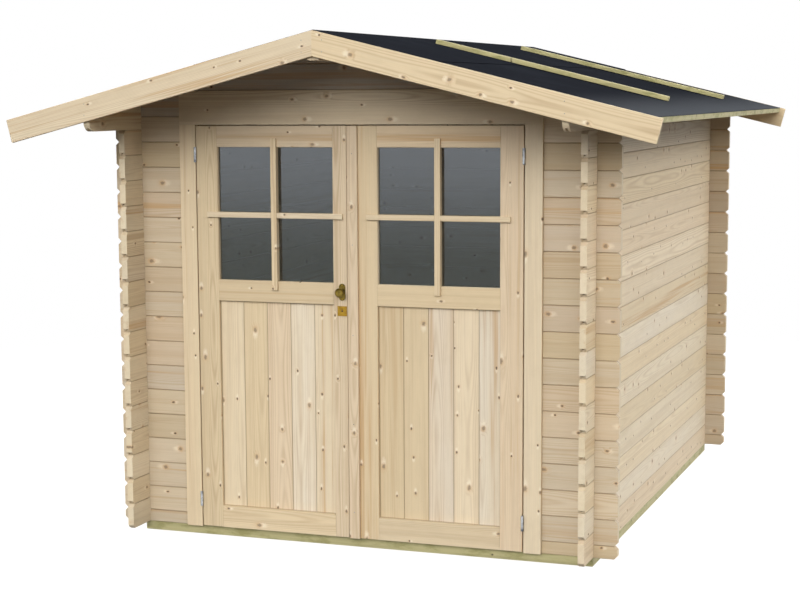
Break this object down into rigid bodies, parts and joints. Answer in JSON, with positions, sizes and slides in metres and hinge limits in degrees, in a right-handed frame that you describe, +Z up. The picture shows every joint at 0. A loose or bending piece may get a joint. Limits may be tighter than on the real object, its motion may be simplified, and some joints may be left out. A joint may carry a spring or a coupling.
{
  "type": "garden shed of interlocking logs with a double door",
  "caption": "Small garden shed of interlocking spruce logs with a low felted gable roof, deep front eave and a half-glazed double door that swings outward.",
  "frame": {"origin": "on the ground below the centre of the roof's plan, which is the centre of the whole part's box", "axes": "+X to the right along the door front, +Y from the door front to the rear wall, +Z up"},
  "size_m": [2.8908, 3.43, 2.2783],
  "materials": {
    "wall_spruce": "planed, untreated",
    "planed_spruce": "planed and sanded, untreated",
    "treated_pine": "pressure treated, sawn",
    "roofing_felt": "bitumen felt with fine mineral grit",
    "pane_glass": "clear float glass",
    "aged_brass": "satin, slightly tarnished",
    "hinge_steel": "zinc plated"
  },
  "bodies": {
    "shed": {"front_beam": "treated_pine", "rear_beam": "treated_pine", "left_beam": "treated_pine", "right_beam": "treated_pine", "floor_joists": "treated_pine", "floor_boards": "planed_spruce", "front_wall_left": "wall_spruce", "front_wall_right": "wall_spruce", "rear_wall": "wall_spruce", "left_wall": "wall_spruce", "right_wall": "wall_spruce", "front_gable": "wall_spruce", "rear_gable": "wall_spruce", "left_eave_log": "wall_spruce", "right_eave_log": "wall_spruce", "ridge_purlin": "wall_spruce", "left_jamb": "planed_spruce", "right_jamb": "planed_spruce", "door_head": "planed_spruce", "door_stops": "planed_spruce", "threshold": "planed_spruce", "left_roof_boards": "wall_spruce", "right_roof_boards": "wall_spruce", "left_felt": "roofing_felt", "right_felt": "roofing_felt", "ridge_felt": "roofing_felt", "eave_strips": "treated_pine", "roof_battens": "treated_pine", "front_left_bargeboard": "planed_spruce", "front_right_bargeboard": "planed_spruce", "rear_left_bargeboard": "planed_spruce", "rear_right_bargeboard": "planed_spruce", "frame_hinges": "hinge_steel"},
    "left_door": {"left_door_stiles": "planed_spruce", "left_door_rails": "planed_spruce", "left_door_panel": "planed_spruce", "left_door_glass": "pane_glass", "left_door_hinges": "hinge_steel", "door_knob": "aged_brass", "lock_plate": "aged_brass"},
    "right_door": {"right_door_stiles": "planed_spruce", "right_door_rails": "planed_spruce", "right_door_panel": "planed_spruce", "right_door_glass": "pane_glass", "right_door_hinges": "hinge_steel", "cover_strip": "planed_spruce"}
  },
  "joints": [
    {"name": "left_door_hinge", "type": "hinge", "parent": "shed", "child": "left_door", "pos_m": [-0.7645, -1.2401, 0.9625], "axis": [0, 0, -1], "range_deg": [0, 110]},
    {"name": "right_door_hinge", "type": "hinge", "parent": "shed", "child": "right_door", "pos_m": [0.7645, -1.2401, 0.9625], "axis": [0, 0, 1], "range_deg": [0, 110]}
  ]
}
